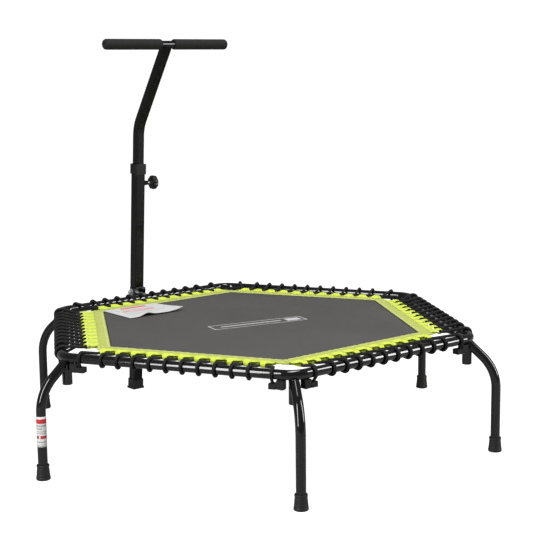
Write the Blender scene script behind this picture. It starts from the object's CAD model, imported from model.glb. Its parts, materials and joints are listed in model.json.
# %% [markdown]
# # A hexagonal mini trampoline with a T-handle
#
# This lesson dresses a ready-made frame of a fitness trampoline. The frame is
# loaded first: steel ring, legs, post, handle and fasteners, each with its place
# in its mesh. The soft and moulded pieces are then made one at a time as surfaces
# worked out with numpy, and every finish is a small graph of shader nodes.

# %% Load the frame
import json
import bpy
import bmesh
import numpy as np
from mathutils import Matrix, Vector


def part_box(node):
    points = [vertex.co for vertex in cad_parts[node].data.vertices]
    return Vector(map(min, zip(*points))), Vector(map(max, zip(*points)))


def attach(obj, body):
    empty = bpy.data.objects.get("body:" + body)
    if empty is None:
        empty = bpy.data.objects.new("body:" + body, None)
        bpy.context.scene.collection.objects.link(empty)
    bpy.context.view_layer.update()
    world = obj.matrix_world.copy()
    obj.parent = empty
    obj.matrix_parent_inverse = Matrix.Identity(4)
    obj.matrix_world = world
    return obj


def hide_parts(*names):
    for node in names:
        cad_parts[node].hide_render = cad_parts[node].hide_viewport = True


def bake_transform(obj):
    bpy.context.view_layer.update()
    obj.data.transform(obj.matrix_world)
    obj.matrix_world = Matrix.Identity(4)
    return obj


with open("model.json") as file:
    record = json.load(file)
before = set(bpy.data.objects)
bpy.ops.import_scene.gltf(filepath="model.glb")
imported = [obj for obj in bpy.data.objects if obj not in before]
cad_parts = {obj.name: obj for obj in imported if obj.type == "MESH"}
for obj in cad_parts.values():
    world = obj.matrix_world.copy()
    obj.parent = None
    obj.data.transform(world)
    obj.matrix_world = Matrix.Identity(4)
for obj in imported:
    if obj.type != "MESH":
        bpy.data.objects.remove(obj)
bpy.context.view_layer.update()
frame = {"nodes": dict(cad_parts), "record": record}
ring_low, ring_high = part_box("frame_ring")
mat_low, mat_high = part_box("jump_mat")
bpy.context.scene.view_settings.view_transform = "Standard"

# %% [markdown]
# ## The sizes that the new pieces share
#
# The ring's middle, height and tube come from the frame itself. The others are the
# sizes that the frame was drawn with: corner_r is the ring's middle line at a
# corner, and each gap is measured inward from that line: to the mat's edge, to the
# band's outer edge, to the loops' middle, and to where the band starts to wave.

# %% Shared sizes, in metres
centre = np.array([0.0, (ring_low[1] + ring_high[1]) / 2, (ring_low[2] + ring_high[2]) / 2])
tube_r = (ring_high[2] - ring_low[2]) / 2
corner_r = 0.635
apothem = corner_r * np.cos(np.pi / 6)
mat_gap, band_gap, loop_gap = 0.126, 0.092, 0.064
wavy_gap = 0.112
loop_z = (mat_low[2] + mat_high[2]) / 2 - centre[2]
mat_half = (mat_high[2] - mat_low[2]) / 2
wraps, tabs_a_side = 12, 11
pitch, end_wrap, tab_shift = 0.0445, 0.262, 0.012
cord_r = 0.004
wrap_r = tube_r + cord_r - 0.0001
post_y, post_lean, post_half = 0.6275, np.radians(3.9), 0.016
knob_up = 0.681
foot_circle_r, sleeve_circle_r = 0.703, 0.622
mm = 0.001
print("ring centre", np.round(centre, 4), "mat plane", round(float(loop_z), 4), "above it")

# %% [markdown]
# ## Places
#
# The trampoline has six equal sides, so each side's pieces are drawn once in the
# side's own axes: outward, along the side, and up. One small function turns those
# into the frame's axes, and another does the same for the leaning post.

# %% Side and post axes
def on_side(k, points):
    """Side k's (outward, along, up) in the frame's axes.

    centre + (apothem + outward) n + along t + up z, where n faces out of the side.
    """
    turn = np.radians(60 * (k - 1) + 30)
    n = np.array([np.cos(turn), np.sin(turn), 0])
    t = np.array([-np.sin(turn), np.cos(turn), 0])
    p = np.asarray(points, float)
    return centre + (apothem + p[..., :1]) * n + p[..., 1:2] * t + p[..., 2:3] * np.array([0, 0, 1])


def at_corner(k, points):
    """Corner k's (outward, sideways, height) in the frame's axes: a turn of 60 (k - 1) degrees."""
    turn = np.radians(60 * (k - 1))
    p = np.asarray(points, float)
    x = p[..., 0] * np.cos(turn) - p[..., 1] * np.sin(turn)
    y = p[..., 0] * np.sin(turn) + p[..., 1] * np.cos(turn)
    return np.stack([x, y + centre[1], p[..., 2]], -1)


def on_post(points):
    """The leaning post's (x, y, along) in the frame's axes: a lean about X, then a move."""
    p = np.asarray(points, float)
    y = p[..., 1] * np.cos(post_lean) - p[..., 2] * np.sin(post_lean)
    z = p[..., 1] * np.sin(post_lean) + p[..., 2] * np.cos(post_lean)
    return np.stack([p[..., 0], y + centre[1] + post_y, z], -1)


print("side 1 middle at", np.round(on_side(1, [0, 0, 0]), 3))

# %% [markdown]
# ## From arrays to meshes
#
# A surface is a grid of points, so its faces follow from the grid's shape alone.
# One function joins several grids into one mesh, with a texture map in metres,
# so that weave and braid keep their real scale wherever the cloth goes.

# %% Grids into one mesh
def grid(points, uv=None, round_v=False, caps=False):
    """One patch: points[u, v], its map in metres, and whether v closes and the ends are capped."""
    nu, nv = points.shape[:2]
    if uv is None:
        u, v = np.meshgrid(np.arange(nu), np.arange(nv + round_v), indexing="ij")
        uv = np.stack([u, v], -1) * mm
    return dict(p=points, uv=uv, round_v=round_v, caps=caps)


def build(name, patches, finish, body=None, sharp=40, recalc=False):
    """A mesh from patches: each face joins four grid neighbours, and a closed v wraps round."""
    verts, faces, maps, base = [], [], [], 0
    for g in patches:
        nu, nv = g["p"].shape[:2]
        i, j = np.meshgrid(np.arange(nu - 1), np.arange(nv if g["round_v"] else nv - 1),
                           indexing="ij")
        corners = [(i, j), (i + 1, j), (i + 1, j + 1), (i, j + 1)]
        quads = np.stack([a * nv + b % nv for a, b in corners], -1).reshape(-1, 4)
        faces += (quads + base).tolist()
        maps.append(np.stack([g["uv"][a, b] for a, b in corners], -2).reshape(-1, 2))
        if g["caps"]:
            for row in (np.arange(nv)[::-1], (nu - 1) * nv + np.arange(nv)):
                faces.append((row + base).tolist())
                maps.append(np.zeros((nv, 2)))
        verts.append(g["p"].reshape(-1, 3))
        base += nu * nv
    mesh = bpy.data.meshes.new(name)
    mesh.from_pydata(np.concatenate(verts).tolist(), [], faces)
    layer = mesh.uv_layers.new(name="cloth")
    layer.data.foreach_set("uv", np.concatenate(maps).astype(np.float32).ravel())
    mesh.shade_smooth()
    if recalc:
        bm = bmesh.new()
        bm.from_mesh(mesh)
        bmesh.ops.remove_doubles(bm, verts=bm.verts, dist=1e-6)
        bmesh.ops.recalc_face_normals(bm, faces=bm.faces)
        bm.to_mesh(mesh)
        bm.free()
    mesh.set_sharp_from_angle(angle=np.radians(sharp))
    piece = bpy.data.objects.new(name, mesh)
    bpy.context.scene.collection.objects.link(piece)
    mesh.materials.append(finish)
    if body:
        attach(piece, body)
    return piece


def thicken(piece, thickness, offset=0.0):
    """Gives a sheet its wall with Solidify."""
    wall = piece.modifiers.new("wall", "SOLIDIFY")
    wall.thickness, wall.offset, wall.use_even_offset = thickness, offset, True
    return piece


# %% A round tube along a path, and a turned shape
def resample(path, extra, step):
    """The path and a second array, read at equal steps of length along it."""
    run = np.concatenate([[0], np.cumsum(np.linalg.norm(np.diff(path, axis=0), axis=1))])
    at = np.linspace(0, run[-1], int(run[-1] / step) + 1)
    both = np.concatenate([path, extra], 1)
    out = np.stack([np.interp(at, run, both[:, c]) for c in range(both.shape[1])], 1)
    return out[:, :3], out[:, 3:], at


def soften(points, reach):
    """Each point becomes the mean of its neighbours within reach; the ends stay."""
    before, after = np.repeat(points[:1], reach, 0), np.repeat(points[-1:], reach, 0)
    pad = np.concatenate([np.zeros((1, points.shape[1])), before, points, after])
    total = np.cumsum(pad, axis=0)
    out = (total[2 * reach + 1:] - total[:-2 * reach - 1]) / (2 * reach + 1)
    out[0], out[-1] = points[0], points[-1]
    return out


def tube(path, hint, radius, sides):
    """A circle carried along a path: p + r (cos a n + sin a b), n square to the tangent."""
    t = np.gradient(path, axis=0)
    t /= np.linalg.norm(t, axis=1, keepdims=True)
    n = hint - (hint * t).sum(1, keepdims=True) * t
    n /= np.linalg.norm(n, axis=1, keepdims=True)
    b = np.cross(t, n)
    a = np.arange(sides) * 2 * np.pi / sides
    ring = np.cos(a)[None, :, None] * n[:, None] + np.sin(a)[None, :, None] * b[:, None]
    points = path[:, None] + np.reshape(radius, (-1, 1, 1)) * ring
    run = np.concatenate([[0], np.cumsum(np.linalg.norm(np.diff(path, axis=0), axis=1))])
    around = np.arange(sides + 1) * 2 * np.pi / sides * float(np.mean(radius))
    uv = np.stack(np.broadcast_arrays(run[:, None], around[None]), -1)
    return grid(points, uv, round_v=True, caps=True)


def turned(profile, sides, squeeze=None):
    """Profile (radius, height) swept round Z; squeeze(radius, angle) may change the radius."""
    pr = np.asarray(profile, float)
    a = np.arange(sides) * 2 * np.pi / sides
    r = np.broadcast_to(pr[:, :1], (len(pr), sides))
    if squeeze:
        r = squeeze(r, a[None, :])
    z = np.broadcast_to(pr[:, 1:2], r.shape)
    run = np.concatenate([[0], np.cumsum(np.linalg.norm(np.diff(pr, axis=0), axis=1))])
    around = np.arange(sides + 1)[None] * 2 * np.pi / sides * pr[:, 0].max()
    uv = np.stack(np.broadcast_arrays(run[:, None], around), -1)
    return np.stack([r * np.cos(a), r * np.sin(a), z], -1), uv


def eased(profile, step):
    """A profile with its corners rounded, by close resampling and softening."""
    pr = np.asarray(profile, float)
    flat = np.concatenate([pr, np.zeros((len(pr), 1))], 1)
    return soften(resample(flat, flat[:, :0], step)[0], 1)[:, :2]


print("helpers ready")

# %% [markdown]
# ## Finishes
#
# Each finish is a Principled shader with a few nodes in front: noise for the
# unevenness of paint, waves for threads, and a bump so that the light catches
# them. Values that are the same all over are set on the shader itself.

# %% Node helpers
def finish_of(name, **sockets):
    """A new material, a function that adds a node to it, and one that feeds its shader.

    An input is named by its label with underscores, or as i0, i1 and so on by its place.
    """
    material = bpy.data.materials.new(name)
    material.use_nodes = True
    tree = material.node_tree
    shader = tree.nodes["Principled BSDF"]

    def feed(socket, value):
        if isinstance(value, bpy.types.NodeSocket):
            tree.links.new(value, socket)
        else:
            socket.default_value = value

    def add(kind, out=0, settings=(), **inputs):
        n = tree.nodes.new("ShaderNode" + kind)
        for key, value in dict(settings).items():
            setattr(n, key, value)
        for key, value in inputs.items():
            by_place = key[0] == "i" and key[1:].isdigit()
            feed(n.inputs[int(key[1:]) if by_place else key.replace("_", " ")], value)
        return n.outputs[out]

    for key, value in sockets.items():
        feed(shader.inputs[key.replace("_", " ")], value)
    return material, add, lambda socket, value: feed(shader.inputs[socket], value)


def place(add, shift=(0, 0, 0), turn=0.0):
    """Object coordinates in metres, turned about Z by an angle and then shifted."""
    return add("Mapping", Vector=add("TexCoord", "Object"), Location=shift, Rotation=(0, 0, turn))


def noise(add, vector, scale, detail=3.0, rough=0.55):
    """Cloudy noise near 0.5, with about scale lumps a metre."""
    return add("TexNoise", "Fac", Vector=vector, Scale=scale, Detail=detail, Roughness=rough)


def between(add, value, low, high, new_low, new_high):
    """value, from the range low to high, carried over to new_low to new_high."""
    return add("MapRange", Value=value, From_Min=low, From_Max=high,
               To_Min=new_low, To_Max=new_high)


def shade(add, fac, stops):
    """A colour ramp through (position, colour) stops."""
    ramp = add("ValToRGB", "Color", Fac=fac).node
    for i, (at, colour) in enumerate(stops):
        e = ramp.color_ramp.elements[i] if i < 2 else ramp.color_ramp.elements.new(at)
        e.position, e.color = at, (*colour, 1)
    return ramp.outputs["Color"]


def tint(add, fac, a, b):
    """Colour a where fac is 0 and colour b where it is 1."""
    mix = add("Mix", "Result", settings={"data_type": "RGBA"}, i0=fac).node
    for socket, value in ((mix.inputs[6], a), (mix.inputs[7], b)):
        if isinstance(value, bpy.types.NodeSocket):
            mix.id_data.links.new(value, socket)
        else:
            socket.default_value = (*value, 1)
    return mix.outputs[2]


def calc(add, operation, a, b=0.0, c=0.0):
    """One Math node on up to three values."""
    return add("Math", settings={"operation": operation}, i0=a, i1=b, i2=c)


def times(add, a, b):
    """a multiplied by b."""
    return calc(add, "MULTIPLY", a, b)


def waves(add, value, length):
    """A sine of value that repeats every length."""
    return calc(add, "SINE", times(add, value, 2 * np.pi / length))


def away(add, value, middle):
    """How far value lies from middle."""
    return calc(add, "ABSOLUTE", calc(add, "SUBTRACT", value, middle))


def inside(add, x, y, middle, half):
    """One where x and y lie inside the rectangle round middle, and zero elsewhere."""
    beside = calc(add, "LESS_THAN", away(add, x, middle[0]), half[0])
    return times(add, beside, calc(add, "LESS_THAN", away(add, y, middle[1]), half[1]))


def cloth_map(add):
    """The piece's own map: metres along the strip and metres across it."""
    uv = add("UVMap", settings={"uv_map": "cloth"})
    split = add("SeparateXYZ", "X", Vector=uv).node
    return uv, split.outputs["X"], split.outputs["Y"]


def bump(add, height, strength, distance, under=None):
    """A normal tilted by height, which stands for distance; under is a bump to build on."""
    args = dict(Height=height, Strength=strength, Distance=distance)
    if under is not None:
        args["Normal"] = under
    return add("Bump", **args)


# %% [markdown]
# ### Powder coat
#
# The tubes are coated with black powder that flows out to a gloss. Close up it
# keeps a fine orange-peel texture, and a little dust dulls it in patches. The
# post's paint is flatter than the ring's.

# %% Powder coats
def powder_coat(name, dark, light, rough, peel, shine):
    """Two close blacks mixed by noise, roughness from rough[0] to rough[1], and orange peel."""
    m, add, put = finish_of(name, Specular_IOR_Level=shine, Coat_Weight=0.75 * shine,
                            Coat_Roughness=0.04)
    where = place(add)
    patches = noise(add, where, 14.0)
    put("Base Color", tint(add, noise(add, where, 60.0), dark, light))
    dust = noise(add, where, 420.0, 2.0)
    clean = between(add, patches, 0.3, 0.7, *rough)
    specks = between(add, dust, 0.62, 0.8, 0.0, 1.0)
    put("Roughness", calc(add, "MULTIPLY_ADD", specks, 0.12, clean))
    peel_at = noise(add, where, 700.0, 2.0, 0.4)
    put("Normal", bump(add, peel_at, peel, 0.15 * mm))
    return m


black_tube = powder_coat("black_powder_coat", (0.0025, 0.0025, 0.0028), (0.005, 0.0048, 0.0048),
                         rough=(0.08, 0.13), peel=0.05, shine=0.42)
post_paint = powder_coat("post_powder_coat", (0.0022, 0.0022, 0.0023), (0.0045, 0.0043, 0.0042),
                         rough=(0.16, 0.26), peel=0.2, shine=0.2)
print("powder coats:", black_tube.name, post_paint.name)

# %% [markdown]
# ### Zinc, rubber and plastic
#
# Zinc plate has a faint blue-yellow bloom. Rubber and moulded plastic differ in
# how fine their grain is and how much of the light they scatter.

# %% Zinc plate
zinc, add, put = finish_of("zinc_plate", Metallic=1.0)
where = place(add)
bloom = noise(add, where, 55.0)
put("Base Color", shade(add, bloom, [(0.3, (0.56, 0.60, 0.66)), (0.7, (0.78, 0.77, 0.70)),
                                     (0.52, (0.70, 0.72, 0.73))]))
put("Roughness", between(add, noise(add, where, 300.0), 0.3, 0.7, 0.30, 0.46))
put("Normal", bump(add, noise(add, where, 1500.0), 0.15, 0.05 * mm))
print("plated finish:", zinc.name)

# %% Rubber, plastics and foam
def moulded(name, dark, light, rough, grain, depth, shine):
    """Colour and roughness from broad noise, and a grain of fine cells under a fine noise."""
    m, add, put = finish_of(name, Specular_IOR_Level=shine)
    where = place(add)
    broad = noise(add, where, 38.0)
    put("Base Color", tint(add, broad, dark, light))
    put("Roughness", between(add, broad, 0.25, 0.75, rough - 0.06, rough + 0.07))
    cells = add("TexVoronoi", "Distance", Vector=where, Scale=grain)
    fine = bump(add, noise(add, where, grain * 2.2), depth * 0.6, 0.1 * mm)
    put("Normal", bump(add, cells, depth, 0.15 * mm, fine))
    return m


foot_rubber = moulded("foot_rubber", (0.014, 0.014, 0.014), (0.025, 0.0245, 0.024),
                      rough=0.5, grain=900.0, depth=0.35, shine=0.3)
black_plastic = moulded("black_plastic", (0.006, 0.006, 0.006), (0.011, 0.0107, 0.0103),
                        rough=0.4, grain=1400.0, depth=0.3, shine=0.3)
knob_plastic = moulded("knob_plastic", (0.005, 0.005, 0.005), (0.009, 0.009, 0.0087),
                       rough=0.33, grain=1600.0, depth=0.2, shine=0.35)
pad_plastic = moulded("nylon_pad", (0.62, 0.60, 0.54), (0.72, 0.70, 0.64),
                      rough=0.45, grain=900.0, depth=0.1, shine=0.4)
grip_foam = moulded("grip_foam", (0.008, 0.008, 0.008), (0.020, 0.0195, 0.019),
                    rough=0.84, grain=620.0, depth=0.9, shine=0.25)
print("moulded finishes ready")

# %% [markdown]
# ### The woven mat
#
# The mat is woven from flat dark polypropylene threads. Two sets of waves at
# right angles give the threads, and a checker says which one lies on top. The
# weave is a little uneven, so the colour drifts slowly across the mat. A plain
# outlined bar is printed on the middle.

# %% The mat's weave
mat_weave, add, put = finish_of("woven_mat", Specular_IOR_Level=0.22)
where = place(add)
thread = 1.6 * mm
wave_unit = 0.314   # a Wave texture of scale 1 repeats after this many metres
rows, picks = [add("TexWave", "Fac", settings={"bands_direction": way}, Vector=where,
                   Scale=wave_unit / thread, Distortion=0.4, Detail=1.0) for way in "XY"]
checks = add("TexChecker", "Fac", Vector=where, Scale=1 / thread)
over = add("Mix", "Result", i0=checks, i2=rows, i3=picks).node.outputs[0]
drift = noise(add, where, 5.0, 4.0)
speck = noise(add, where, 900.0, 2.0)
cloth = shade(add, drift, [(0.25, (0.080, 0.076, 0.072)), (0.75, (0.104, 0.100, 0.095))])
worn = tint(add, times(add, between(add, speck, 0.4, 0.7, 0.0, 1.0), 0.35),
            cloth, (0.145, 0.140, 0.134))
between_threads = between(add, over, 0.0, 0.35, 1.0, 0.0)
woven = tint(add, times(add, between_threads, 0.45), worn, (0.044, 0.042, 0.040))
put("Roughness", between(add, drift, 0.3, 0.7, 0.42, 0.52))
put("Normal", bump(add, over, 0.35, 0.3 * mm))
print("mat threads every", thread / mm, "mm")

# %% The bar printed on it
print_turn, print_y = np.radians(12.6), centre[1] - 20 * mm
print_shift = (print_y * np.sin(print_turn), -print_y * np.cos(print_turn), 0)
print_axes = add("SeparateXYZ", "X", Vector=place(add, print_shift, print_turn)).node


def bar_at(x, half_long, half_wide):
    """A bar in mm along the print's own axes, with its middle at x."""
    return inside(add, print_axes.outputs["X"], print_axes.outputs["Y"], (x * mm, 0.0),
                  (half_long * mm, half_wide * mm))


outline = calc(add, "SUBTRACT", bar_at(0, 148, 27), bar_at(0, 144.5, 23.5))
filled = calc(add, "MAXIMUM", bar_at(112, 22, 15), bar_at(-22, 96, 4))
ink_cover = 0.88
printed = times(add, calc(add, "MAXIMUM", outline, filled), ink_cover)
put("Base Color", tint(add, printed, woven, (0.66, 0.66, 0.67)))
print("plain bar turned by", round(float(np.degrees(print_turn)), 1), "degrees")

# %% [markdown]
# ### Webbing
#
# The band and the tabs are ribbed polyester webbing in two yellows. The ribs run
# across the strip, and two double lines of stitches hold the band. The map of each
# strip is in metres, so the ribs and stitches follow the folds.

# %% Webbing
def webbing(name, deep, bright, rib, stitch_rows=(), fold=0.0):
    """Ribs along the strip, a fine cross weave, creases every fold, and rows of stitches.

    Each of stitch_rows is the distance across the strip at which a row is sewn.
    """
    m, add, put = finish_of(name, Specular_IOR_Level=0.3, Sheen_Weight=0.25, Sheen_Roughness=0.4)
    weave_pitch, stitch, thread_colour = 0.7 * mm, 4.2 * mm, (0.75, 0.80, 0.35)
    uv, along, across = cloth_map(add)
    ribs, weave = waves(add, along, rib), waves(add, across, weave_pitch)
    drift = noise(add, uv, 45.0, 3.0)
    base = tint(add, between(add, drift, 0.3, 0.7, 0.0, 1.0), deep, bright)
    grain = times(add, between(add, ribs, -1.0, -0.3, 1.0, 0.0), 0.35)
    colour = tint(add, grain, base, tuple(0.55 * c for c in deep))
    if fold:
        crease = waves(add, calc(add, "MULTIPLY_ADD", drift, 3 * mm, along), fold)
        dark = tuple(0.62 * c for c in deep)
        colour = tint(add, between(add, crease, 0.1, 1.0, 0.0, 0.5), colour, dark)
    height = calc(add, "MULTIPLY_ADD", weave, 0.3, ribs)
    dash = between(add, waves(add, along, stitch), -0.5, -0.2, 0.0, 1.0)
    for at in stitch_rows:
        near = between(add, away(add, across, at), 0.5 * mm, 0.9 * mm, 1.0, 0.0)
        sewn = times(add, near, dash)
        colour = tint(add, sewn, colour, thread_colour)
        sunk = calc(add, "MULTIPLY_ADD", near, -1.5, height)
        height = calc(add, "MULTIPLY_ADD", sewn, 3.0, sunk)
    put("Base Color", colour)
    put("Roughness", between(add, drift, 0.2, 0.8, 0.62, 0.78))
    put("Normal", bump(add, height, 0.35, 0.2 * mm))
    return m


band_webbing = webbing("band_webbing", (0.42, 0.49, 0.045), (0.52, 0.59, 0.075), 2.0 * mm,
                       stitch_rows=(3.0 * mm, 6.0 * mm, 29.0 * mm, 32.0 * mm))
tab_webbing = webbing("tab_webbing", (0.60, 0.74, 0.030), (0.76, 0.88, 0.060), 1.6 * mm,
                      fold=pitch)
print("webbing ready")

# %% [markdown]
# ### The elastic cord's braid
#
# The cord's cover is a braid: two families of threads wind round it in opposite
# directions. Two slanted waves, one on top of the other by turns, give that.

# %% The braid
bungee, add, put = finish_of("braided_cord", Specular_IOR_Level=0.22, Sheen_Weight=0.05,
                             Sheen_Roughness=0.5)
uv, length_way, round_way = cloth_map(add)
braid_lay, strands_round = 3.1 * mm, 4
lays = times(add, length_way, 1 / braid_lay)
winds = times(add, round_way, strands_round / (2 * np.pi * cord_r))
strand_a, strand_b = [waves(add, calc(add, way, lays, winds), 1.0) for way in ("ADD", "SUBTRACT")]
braid = calc(add, "MAXIMUM", strand_a, strand_b)
fibre = noise(add, uv, 1800.0, 2.0)
dusk = calc(add, "MULTIPLY_ADD", fibre, 0.5, times(add, braid, 0.35))
put("Base Color", shade(add, dusk, [(0.05, (0.003, 0.003, 0.003)), (0.75, (0.017, 0.0165, 0.016)),
                                    (0.45, (0.009, 0.0087, 0.0085))]))
put("Roughness", between(add, fibre, 0.3, 0.7, 0.5, 0.68))
put("Normal", bump(add, braid, 0.6, 0.35 * mm))
print("braid ready")

# %% [markdown]
# ### Tag, label and seam thread
#
# The cloth tag carries soft red and grey bars, and the leg's vinyl label a red
# head and grey bars. Both are plain bars, so they say nothing. Their place on
# the piece comes from the map, which is in metres.

# %% Bars on cloth and vinyl
def barred(name, ground, bars, rough, sheen=0.0):
    """A pale ground with bars (u0, u1, v0, v1, colour), each in mm on the piece's own map."""
    m, add, put = finish_of(name, Specular_IOR_Level=0.4, Sheen_Weight=sheen)
    uv, along, across = cloth_map(add)
    smear = noise(add, uv, 260.0)
    colour = tint(add, smear, ground, tuple(0.93 * c for c in ground))
    for u0, u1, v0, v1, bar in bars:
        middle = (u0 + u1) / 2 * mm, (v0 + v1) / 2 * mm
        half = (u1 - u0) / 2 * mm, (v1 - v0) / 2 * mm
        colour = tint(add, inside(add, along, across, middle, half), colour, bar)
    put("Base Color", colour)
    put("Roughness", between(add, smear, 0.3, 0.7, rough - 0.05, rough + 0.08))
    threads = noise(add, uv, 1400.0, 2.0)
    put("Normal", bump(add, threads, 0.2 if sheen else 0.05, 0.1 * mm))
    return m


red, bright_red, pink = (0.62, 0.035, 0.045), (0.72, 0.05, 0.06), (0.68, 0.30, 0.28)
ink, dark_grey = (0.12, 0.12, 0.12), (0.3, 0.3, 0.3)
grey, mist = (0.35, 0.37, 0.36), (0.46, 0.50, 0.49)
tag_bars = [(52, 142, 9, 25, bright_red), (20, 160, 34, 38, mist), (20, 150, 42, 45, mist),
            (30, 142, 56, 76, pink), (20, 165, 88, 92, mist), (20, 150, 98, 102, mist),
            (20, 120, 110, 113, grey), (20, 90, 124, 127, grey)]
tag_cloth = barred("tag_cloth", (0.66, 0.66, 0.66), tag_bars, rough=0.6, sheen=0.2)
label_bars = [(0, 70, 62, 74, red), (6, 62, 54, 58, grey), (6, 50, 47, 50, dark_grey),
              (6, 62, 40, 42, grey), (6, 62, 35, 37, grey), (6, 40, 22, 30, ink),
              (44, 62, 22, 30, red), (6, 62, 12, 15, grey)]
label_vinyl = barred("label_vinyl", (0.80, 0.80, 0.79), label_bars, rough=0.32)
print("bars:", len(tag_bars), "on the tag,", len(label_bars), "on the label")

# %% Seam thread
seam_thread, add, put = finish_of("seam_binding", Specular_IOR_Level=0.3)
where = place(add)
put("Base Color", tint(add, noise(add, where, 300.0),
                       (0.010, 0.006, 0.016), (0.028, 0.020, 0.038)))
put("Roughness", between(add, noise(add, where, 900.0), 0.3, 0.7, 0.5, 0.7))
put("Normal", bump(add, noise(add, where, 1200.0), 0.5, 0.3 * mm))
print("thread:", seam_thread.name)

# %% [markdown]
# ## Dressing the steel
#
# The frame's steel and fasteners already have the right shape, so they stay and
# only change their finish.

# %% Finishes for the frame's own parts
steel = {"black_tube": black_tube, "post_paint": post_paint, "zinc": zinc,
         "foot_rubber": foot_rubber, "black_plastic": black_plastic,
         "knob_plastic": knob_plastic, "pad_plastic": pad_plastic, "grip_foam": grip_foam}
for part in frame["record"]["subparts"]:
    if part["material_slot"] in steel:
        node = frame["nodes"][part["node"]]
        node.data.materials.clear()
        node.data.materials.append(steel[part["material_slot"]])
print("dressed", len(frame["nodes"]), "parts")

# %% [markdown]
# ## The elastic lacing
#
# On each side one cord runs from a clip over the ring, inward to a tab, through
# its loop and back under the ring, twelve times over. Its middle line is arcs and
# straight runs joined end to end. The joins are softened, and a circle is carried
# along the result. The circle's frame follows the ring's own radius, and swaps
# sign at each wrap because the cord turns over in each loop.

# %% One side's cord path
reach = np.hypot(loop_gap, loop_z)
rise_angle, touch_angle = np.arctan2(loop_z, loop_gap), np.arccos(wrap_r / reach)
top_angle = np.pi - rise_angle - touch_angle
low_angle = -(np.pi + rise_angle - touch_angle)
clip_angle = np.radians(-60)
clip_at, clip_way = np.array([[2.5 * mm, 0, -29 * mm]]), np.array([[0.5, 0, -0.87]])
turn_at, turn_deep, turn_half = -54 * mm, 9.5 * mm, 12.0 * mm


def wrap_along(i):
    """How far along the side wrap i lies; the end wraps stand apart beside their clips."""
    inner = (np.asarray(i) - (wraps - 1) / 2) * pitch
    last = np.where(np.asarray(i) == wraps - 1, end_wrap, inner)
    return np.where(np.asarray(i) == 0, -end_wrap, last)


def tab_along(i):
    """How far along the side tab i lies: tab_shift on from wrap i."""
    return (i - (wraps - 1) / 2) * pitch + tab_shift


def arc(along, start, stop, sign, count=40):
    """Points round the ring: (r cos a, along, r sin a), with the radius direction as the hint."""
    a = np.linspace(start, stop, count)
    out = np.stack([np.cos(a), np.zeros(count), np.sin(a)], 1)
    return out * wrap_r + [0, along, 0], out * sign


def loop_turn(i, sign, count=22):
    """Half an ellipse through tab i's loop, level with the mat."""
    a = np.linspace(-np.pi / 2, np.pi / 2, count)
    along = tab_along(i) + turn_half * np.sin(a)
    p = np.stack([turn_at - turn_deep * np.cos(a), along, np.full(count, loop_z)], 1)
    return p, np.tile([0, 0, float(sign)], (count, 1))


def side_path():
    """The whole cord, from clip to clip: over the ring, through a tab's loop, and back."""
    parts = [(clip_at + [0, wrap_along(0), 0], clip_way)]
    for i in range(wraps):
        sign = 1 if i % 2 == 0 else -1
        along = float(wrap_along(i))
        if i < wraps - 1:
            parts.append(arc(along, clip_angle if i == 0 else low_angle, top_angle, sign))
            parts.append(loop_turn(i, sign))
        else:
            parts.append(arc(along, top_angle, clip_angle, -sign))
    parts.append((clip_at + [0, wrap_along(wraps - 1), 0], -sign * clip_way))
    return np.concatenate([p for p, _ in parts]), np.concatenate([h for _, h in parts])


path, hints = side_path()
path, hints, _ = resample(path, hints, 1.0 * mm)
path = soften(path, 3)[::2]
hints = soften(hints, 3)[::2]
cord_length = float(np.linalg.norm(np.diff(path, axis=0), axis=1).sum())
print("each cord:", round(cord_length, 3), "m in", wraps, "wraps")

# %% Six cords, each bending from the ring to the mat
strand = tube(path, hints, cord_r, 10)
cords = []
for k in range(1, 7):
    cord = build(f"lacing_{k}", [dict(strand, p=on_side(k, strand["p"]))], bungee,
                 recalc=True, sharp=60)
    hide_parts(f"cord_{k}")
    on_side(k, [-17 * mm, 0, 0])
    on_side(k, [-54 * mm, 0, 0])
    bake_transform(cord)
    cords.append(cord)
print("cord faces:", sum(len(c.data.polygons) for c in cords))

# %% [markdown]
# ## The jumping mat
#
# A hexagon is two trapeziums, so a grid whose rows shorten away from the middle
# row covers it with no pole. Stretched cloth is never quite flat: each edge
# gives a little between the tabs, so the rim gets a slow ripple.

# %% The mat's sheet
def hexagon_sheet(inner, count):
    """A row at y reaches (2 inner - |y|) / sqrt 3 each way; the rim ripples a little."""
    v = np.linspace(-1, 1, count)
    u = np.linspace(-1, 1, count)
    y = np.broadcast_to(v[None, :] * inner, (count, count))
    x = u[:, None] * (2 * inner - np.abs(y)) / np.sqrt(3)
    out = np.maximum(np.abs(y), np.abs(x) * np.cos(np.pi / 6) + np.abs(y) / 2) / inner
    ripple = 0.35 * mm * np.sin(x * 140) * np.sin(y * 120 + 1) * out ** 6
    lift = 0.6 * mm
    points = np.stack([x, y + centre[1], centre[2] + loop_z + lift + ripple], -1)
    return grid(points, np.stack([x, y], -1))


mat_inner = apothem - mat_gap + 4 * mm
mat = build("bounce_mat", [hexagon_sheet(mat_inner, 97)], mat_weave, "mat")
thicken(mat, 1.2 * mm)
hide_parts("jump_mat")

# %% [markdown]
# ## The edge band
#
# A strip of webbing is folded over the mat's edge and sewn through. Its section
# is a flat U, carried along each side and mitred at the corners. The tabs pull on
# it between the stitches, so its inner edge waves and its top has shallow pleats.

# %% The band, side by side
def edge_wave(along, k):
    """The inner edge's wave on side k: two sines, so that no two pulls look the same."""
    slow = np.sin(along * 2 * np.pi / (pitch / 2) + k)
    return slow + 0.6 * np.sin(along * 2 * np.pi / (pitch / 3.3) + 2 * k)


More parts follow.
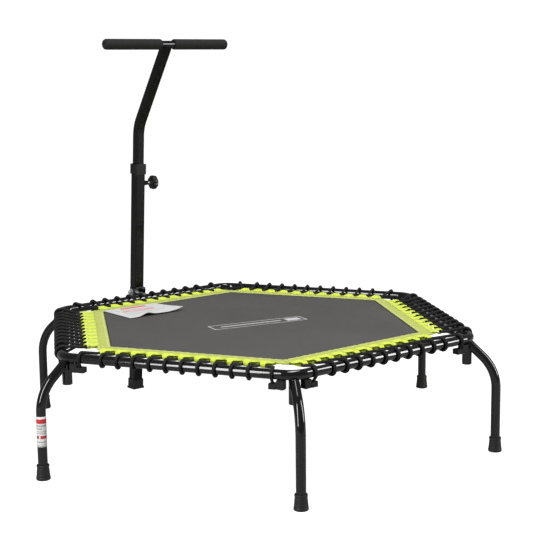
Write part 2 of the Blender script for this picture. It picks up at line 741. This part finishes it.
def band_side(k, count=190):
    """A flat U of (gap, height), mitred at the ends: half the side is (apothem - gap) tan 30."""
    mat_mm, band_mm, wavy_mm = mat_gap / mm, band_gap / mm, wavy_gap / mm
    section = np.array([[mat_mm + 1.5, 1.9], [mat_mm - 5, 2.2], [wavy_mm, 2.3], [102, 2.3],
                        [band_mm + 3, 2.1], [band_mm + 0.7, 1.5], [band_mm, 0.0],
                        [band_mm + 0.7, -1.5], [band_mm + 3, -2.1], [102, -2.2],
                        [wavy_mm, -2.2], [mat_mm, -1.9]]) * mm
    flat = np.concatenate([section, 0 * section[:, :1]], 1)
    section = resample(flat, flat[:, :0], 2.2 * mm)[0]
    gap, up = section[:, :1], section[:, 1:2]
    s = np.linspace(-1, 1, count)[None, :]
    side = np.sign(up)
    along = s * (apothem - gap) * np.tan(np.pi / 6)
    inner = np.clip((gap - wavy_gap) / (mat_gap - wavy_gap), 0, 1)
    outward = -gap + 1.3 * mm * inner ** 2 * edge_wave(along, k)
    slant = along + 0.5 * gap
    pleat = 0.28 * mm * np.sin(slant * 2 * np.pi / (pitch / 3)) * (1 - inner) * side
    points = np.stack([outward, along, loop_z + up + pleat], -1)
    run = np.concatenate([[0], np.cumsum(np.linalg.norm(np.diff(section[:, :2], axis=0), axis=1))])
    uv = np.stack([along + 0 * gap, np.broadcast_to(run[:, None], along.shape)], -1)
    return grid(on_side(k, points)[::-1], uv[::-1])


band = build("edge_webbing", [band_side(k) for k in range(1, 7)], band_webbing, "mat", sharp=70)
thicken(band, 0.9 * mm)
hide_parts("edge_band")
print("band faces:", len(band.data.polygons))

# %% The dark seam between the band and the mat
def seam_side(k, count=120):
    """A thread half sunk in the mat along the band's inner edge, wandering with it."""
    gap = mat_gap + 3.2 * mm
    s = np.linspace(-1, 1, count)
    along = s * (apothem - gap) * np.tan(np.pi / 6)
    outward = -gap + 1.2 * mm * edge_wave(along, k)
    line = np.stack([outward, along, np.full(count, loop_z + 1.1 * mm)], 1)
    seam = tube(line, np.tile([0.0, 0, 1], (count, 1)), 1.4 * mm, 8)
    return dict(seam, p=on_side(k, seam["p"]))


seam = build("seam_piping", [seam_side(k) for k in range(1, 7)], seam_thread, "mat", recalc=True)
print("seam laid")

# %% [markdown]
# ## The tabs
#
# Each tab is a strip of webbing, wide where it is sewn to the band and gathered
# to a narrow loop round the cord. Its long section is a drop shape: out along the
# top, round the cord and back underneath. Gathering makes pleats, which deepen
# towards the loop, and the cord drags one edge further out than the other.

# %% One tab's surface
def tab_surface(taper):
    """A drop of (gap, height), 44 mm wide past the gap taper and narrowing to 14 mm at the loop.

    The width follows the smooth step x x (3 - 2 x), and the pleats a cosine across it.
    """
    drop = np.array([[98, 3.0], [92, 3.1], [89, 2.9], [85, 2.0], [80, 1.5], [75, 2.2],
                     [71, 4.2], [67, 5.4], [63, 5.5], [60, 4.7], [58, 2.8], [57.2, 0],
                     [58, -2.8], [60, -4.7], [63, -5.5], [67, -5.3], [71, -3.9],
                     [75, -1.8], [80, -1.2], [85, -1.6], [89, -2.6], [92, -2.8],
                     [98, -2.8]]) * mm
    flat = np.concatenate([drop, 0 * drop[:, :1]], 1)
    section, _, run = resample(flat, flat[:, :0], 2.6 * mm)
    section = soften(section, 1)
    gap, up = section[:, :1], section[:, 1:2]
    v = np.linspace(-1, 1, 25)[None, :]
    loop_end, narrow, wide = 59 * mm, 7.2 * mm, 22.2 * mm
    root = np.clip((gap - loop_end) / (taper - loop_end), 0, 1)
    root = root * root * (3 - 2 * root)
    half = narrow + (wide - narrow) * root
    from_band = np.clip(1 - (gap - 74 * mm) / (20 * mm), 0.3, 1)
    gather = from_band * np.clip((gap - 60 * mm) / (12 * mm), 0.25, 1)
    side = np.sign(up + 1e-9)
    open_loop = np.clip(np.abs(up) / (2 * mm), 0, 1)
    pleat = 0.5 * mm * (1 + np.cos(v * np.pi * 3.0)) * gather * open_loop
    flare = 0.5 * mm * v ** 2 * np.exp(-((gap - 76 * mm) / (7 * mm)) ** 2)
    drag = -3.0 * mm * v * np.exp(-((gap - 64 * mm) / (9 * mm)) ** 2)
    points = np.stack([-gap - drag * 0.5, half * v, up + side * (pleat + flare)], -1)
    uv = np.stack([half * v, np.broadcast_to(run[:, None], points.shape[:2])], -1)
    return points, uv


# The gap at which each side's tabs reach their full width, as they were gathered.
tapers = {1: 92 * mm, 2: 90 * mm, 3: 78 * mm, 4: 86 * mm, 5: 86 * mm, 6: 90 * mm}
for k in range(1, 7):
    tab_points, tab_uv = tab_surface(tapers[k])
    patches = [grid(on_side(k, tab_points + [0, s, loop_z])[::-1], tab_uv[::-1] + [[s, 0]])
               for s in tab_along(np.arange(tabs_a_side))]
    tabs = build(f"lace_tabs_{k}", patches, tab_webbing, "mat", sharp=70)
    thicken(tabs, 0.9 * mm, -1.0)
    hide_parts(f"tabs_{k}")
print("each tab:", tab_points.shape[:2], "points")

# %% [markdown]
# ## The sewn tag
#
# A coated cloth tag is caught in the seam beside the post. It lies on the mat,
# but its free edge has curled where it was folded in the box.

# %% The tag
def tag_surface(width=190 * mm, depth=150 * mm, seam_start=52 * mm, nu=60, nv=44):
    """Flat at the seam; the free edge lifts in a ridge near one corner and curls at the other.

    u runs along the seam and v away from it, and the lift grows as v to the power 1.6.
    """
    u = np.linspace(0, 1, nu)[:, None]
    v = np.linspace(0, 1, nv)[None, :]
    ridge = 7 * mm * np.exp(-((u - 0.20 - 0.12 * v) / 0.10) ** 2)
    roll = 11 * mm * np.clip((u - 0.62) / 0.38, 0, 1) ** 2
    middle = 2.5 * mm * np.sin(np.pi * u) ** 2
    up = mat_half + 2.3 * mm + v ** 1.6 * (ridge + roll + middle)
    gap = mat_gap - 2 * mm + v * depth
    along = seam_start + (1 - u) * width
    points = np.stack([-gap + 0 * u, along + 0 * v, loop_z + up], -1)
    uv = np.stack([u * width + 0 * v, v * depth + 0 * u], -1)
    return grid(on_side(2, points), uv)


tag = build("cloth_tag", [tag_surface()], tag_cloth, "mat")
thicken(tag, 0.4 * mm)
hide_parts("mat_tag")
print("tag laid on the mat")

# %% [markdown]
# ## The leg's label
#
# A strip of vinyl is wrapped round one leg. It is the leg's own cylinder, a
# fraction of a millimetre larger.

# %% The label
label_low, label_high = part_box("leg_label")
sweep = np.radians(np.linspace(-150, 150, 61))[:, None]
rise = np.linspace(label_low[2], label_high[2], 9)[None, :]
label_r = tube_r + 0.3 * mm
wrapped = np.stack([-foot_circle_r - label_r * np.cos(sweep) + 0 * rise,
                    centre[1] - label_r * np.sin(sweep) + 0 * rise, rise + 0 * sweep], -1)
label_uv = np.stack([(sweep - sweep[0]) * label_r + 0 * rise, rise - label_low[2] + 0 * sweep], -1)
label = build("leg_sticker", [grid(wrapped, label_uv)], label_vinyl, "frame")
thicken(label, 0.2 * mm, 1.0)
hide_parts("leg_label")

# %% [markdown]
# ## The star knob
#
# A moulded knob is a turned shape whose rim is bitten eight times. The bite grows
# with the radius, so the hub stays round. The face is dished.

# %% The knob
def lobed(r, a):
    """Radius r less a bite that grows beyond 12 mm and repeats eight times round."""
    bite = np.clip((r - 12 * mm) / (10.5 * mm), 0, 1) * 2.3 * mm
    return r - bite * (0.5 + 0.5 * np.cos(8 * a)) ** 2.2


knob_profile = eased(np.array([[0, 31], [4, 30.2], [8.2, 30], [8.8, 30.4], [10.5, 33.4],
                               [20.3, 34.4], [22.5, 37.4], [22.5, 47], [20.8, 49.8],
                               [15, 50.2], [12.8, 48.4], [6, 47.4], [0, 47.2]]) * mm, 0.9 * mm)
knob_points, knob_uv = turned(knob_profile, 96, lobed)
placed = on_post(np.stack([knob_points[..., 2] + post_half, knob_points[..., 0],
                           knob_points[..., 1] + knob_up], -1))
knob = build("star_knob", [grid(placed, knob_uv, round_v=True)], knob_plastic, "clamp",
             recalc=True, sharp=45)
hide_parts("clamp_knob")
print("knob", np.round(np.ptp(placed.reshape(-1, 3), axis=0) / mm, 1), "mm")

# %% [markdown]
# ## The rubber feet
#
# Each foot is a turned rubber cup: a flared base, a tapering wall with three
# shallow grooves, and a thick rim that grips the tube.

# %% Six feet
foot_profile = eased(np.array([[0, 0.3], [14, 0], [17.4, 0], [18.7, 1.4], [18.7, 5.2],
                               [18.1, 8.4], [17.5, 8.6], [17.4, 10.2], [17.9, 10.6],
                               [17.3, 15.6], [16.8, 15.9], [16.7, 17.5], [17.1, 17.9],
                               [16.4, 25], [15.9, 30.6], [15.2, 31.6], [15.2, 32.6],
                               [16.4, 33.4], [16.6, 36], [16.2, 39.6], [15.2, 40.3],
                               [13.4, 40.2], [12.75, 39.4], [12.72, 30]]) * mm, 0.6 * mm)
foot_points, foot_uv = turned(foot_profile, 56)
for k in range(1, 7):
    low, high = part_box(f"foot_{k}")
    spot = [(low[0] + high[0]) / 2, (low[1] + high[1]) / 2, 0]
    foot = build(f"rubber_foot_{k}", [grid(foot_points + spot, foot_uv, round_v=True)],
                 foot_rubber, "frame", recalc=True, sharp=50)
    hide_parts(f"foot_{k}")
print("feet stand at z =", round(float(foot_points[..., 2].min()), 4))

# %% [markdown]
# ## The foam grips
#
# Two foam tubes are pushed over the handle bar. Foam is soft, so the ends roll
# inward, and the surface is a little uneven. The bar is where the frame has it.

# %% The grips
def uneven(r, a):
    """Radius r with three broad swellings and nine small ones round it."""
    return r * (1 + 0.006 * np.sin(3 * a + 1) + 0.004 * np.sin(9 * a))


def grip(side):
    """A tube about X with rolled ends; its radius wanders a little on the way round."""
    low, high = np.array(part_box("grip_" + ("left" if side < 0 else "right")))
    middle = (low + high) / 2
    outer, length = (high[2] - low[2]) / 2, high[0] - low[0]
    bore, roll_out, roll_in = 11.1 * mm, 2.2 * mm, 7 * mm
    profile = eased(np.array([[bore, 0.8 * mm], [13 * mm, 0], [outer - 1.2 * mm, 0],
                              [outer, 1.4 * mm], [outer, length - roll_in],
                              [outer - roll_out, length - roll_out],
                              [outer - roll_in, length], [0, length]]), 2.0 * mm)
    points, uv = turned(profile, 56, uneven)
    x = (low[0] + points[..., 2]) if side > 0 else (high[0] - points[..., 2])
    placed = np.stack([x, middle[1] + points[..., 0], middle[2] + points[..., 1]], -1)
    return grid(placed, uv, round_v=True)


for name, side in (("left", -1), ("right", 1)):
    foam = build(f"foam_grip_{name}", [grip(side)], grip_foam, "handle", recalc=True, sharp=60)
    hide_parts(f"grip_{name}")
print("grips on the bar")

# %% [markdown]
# ## Weld beads
#
# Where a leg's sloping tube meets its upright sleeve, the welder leaves a bead of
# small overlapping ripples. It follows the line where the two tubes meet.

# %% The beads under the corners
def weld_bead():
    """A bead round the sleeve, where a tube of slope s and radius r meets it.

    The tube's lower side is at z = start - (sqrt(r^2 - y^2) + x sin s) / cos s.
    """
    slope, sleeve, pipe, start = np.radians(42), 13.2 * mm, 12.65 * mm, 301 * mm
    a = np.radians(np.linspace(-70, 70, 60))
    x, y = sleeve * np.cos(a), sleeve * np.sin(a)
    z = start - (np.sqrt(np.maximum(pipe ** 2 - y ** 2, 0)) + x * np.sin(slope)) / np.cos(slope)
    line = np.stack([sleeve_circle_r + x, y, z], 1)
    line, _, run = resample(line, line[:, :0], 0.8 * mm)
    thick = 1.7 * mm * (1 + 0.22 * np.abs(np.sin(run * np.pi / (2.6 * mm))))
    return tube(line, np.tile([1.0, 0, 0.6], (len(line), 1)), thick[:, None], 10)


bead = weld_bead()
beads = build("weld_beads", [dict(bead, p=at_corner(k, bead["p"])) for k in range(1, 7)],
              black_tube, "frame", recalc=True)
print("beads:", len(beads.data.polygons), "faces")

# %% [markdown]
# ## The studio
#
# The floor and the surround are white to the camera, but glow only faintly for
# everything else. A glossy black tube shows little but what it reflects, so the
# panels are long: each one draws a clean streak down every tube.

# %% Floor and surround
floor_glow, camera_floor_glow = 0.14, 0.84
world_glow, camera_world_glow = 0.2, 0.85
floor_finish, add, put = finish_of("studio_floor", Specular_IOR_Level=0.1)
put("Base Color", shade(add, noise(add, place(add), 1.5),
                        [(0.3, (0.30, 0.30, 0.30)), (0.7, (0.32, 0.32, 0.32))]))
put("Roughness", 0.8)
put("Emission Color", (1, 1, 1, 1))
put("Emission Strength", calc(add, "MULTIPLY_ADD", add("LightPath", "Is Camera Ray"),
                              camera_floor_glow, floor_glow))
span = np.linspace(-30, 30, 13)
gx, gy = np.meshgrid(span, span, indexing="ij")
floor_z = -0.2 * mm
floor = build("studio_floor", [grid(np.stack([gx, gy, 0 * gx + floor_z], -1))], floor_finish)

world = bpy.data.worlds.new("studio")
bpy.context.scene.world = world
world.use_nodes = True
surround = world.node_tree.nodes["Background"].inputs
surround["Color"].default_value = (1, 1, 1, 1)
seen = world.node_tree.nodes.new("ShaderNodeLightPath").outputs["Is Camera Ray"]
glow = world.node_tree.nodes.new("ShaderNodeMath")
glow.operation = "MULTIPLY_ADD"
world.node_tree.links.new(seen, glow.inputs[0])
glow.inputs[1].default_value, glow.inputs[2].default_value = camera_world_glow, world_glow
world.node_tree.links.new(glow.outputs[0], surround["Strength"])
print("floor", round(float(np.ptp(span))), "m wide")

# %% Light
def stand_at(spot, right, up, back):
    """The matrix whose columns are an object's right, up and back directions and its place."""
    columns = np.eye(4)
    columns[:3] = np.stack([right, up, back, spot], 1)
    return Matrix(columns.tolist())


def panel(name, place_at, aim, size, power):
    """A soft area light turned so that its -Z axis points at the aim."""
    light = bpy.data.lights.new(name, "AREA")
    light.shape, light.energy = "RECTANGLE", power
    light.size, light.size_y = size
    lamp = bpy.data.objects.new(name, light)
    bpy.context.scene.collection.objects.link(lamp)
    back = np.array(place_at, float) - aim
    back /= np.linalg.norm(back)
    right = np.cross([0, 0, 1.0], back)
    right /= np.linalg.norm(right)
    up = np.cross(back, right)
    lamp.matrix_world = stand_at(place_at, right, up, back)


middle = np.array([0, 0, 0.4])
panel("overhead", (0.2, -0.4, 3.4), middle, (2.0, 0.7), 60)
panel("left_panel", (-3.0, -0.6, 1.6), middle, (0.6, 2.4), 75)
panel("right_panel", (2.3, -2.6, 1.7), middle, (0.6, 2.4), 75)

# %% [markdown]
# ## The camera
#
# The camera stands a little above the handle's height, to the left of the front,
# and looks slightly down through a long lens. Its axes follow from three angles.

# %% The camera
yaw, pitch_down, roll = np.radians([50.57, 9.12, -0.62])
look = np.array([np.cos(yaw) * np.cos(pitch_down), np.sin(yaw) * np.cos(pitch_down),
                 -np.sin(pitch_down)])
level = np.array([np.sin(yaw), -np.cos(yaw), 0])
lift = np.cross(level, look)
right = level * np.cos(roll) + lift * np.sin(roll)
up = -level * np.sin(roll) + lift * np.cos(roll)
stand = np.array([-2.250, -2.797 + centre[1], 1.0545])
view = bpy.data.objects.new("camera", bpy.data.cameras.new("camera"))
bpy.context.scene.collection.objects.link(view)
view.matrix_world = stand_at(stand, right, up, -look)
view.data.lens, view.data.sensor_width = 85.54, 36.0
bpy.context.scene.camera = view
print("camera at", np.round(stand, 3))
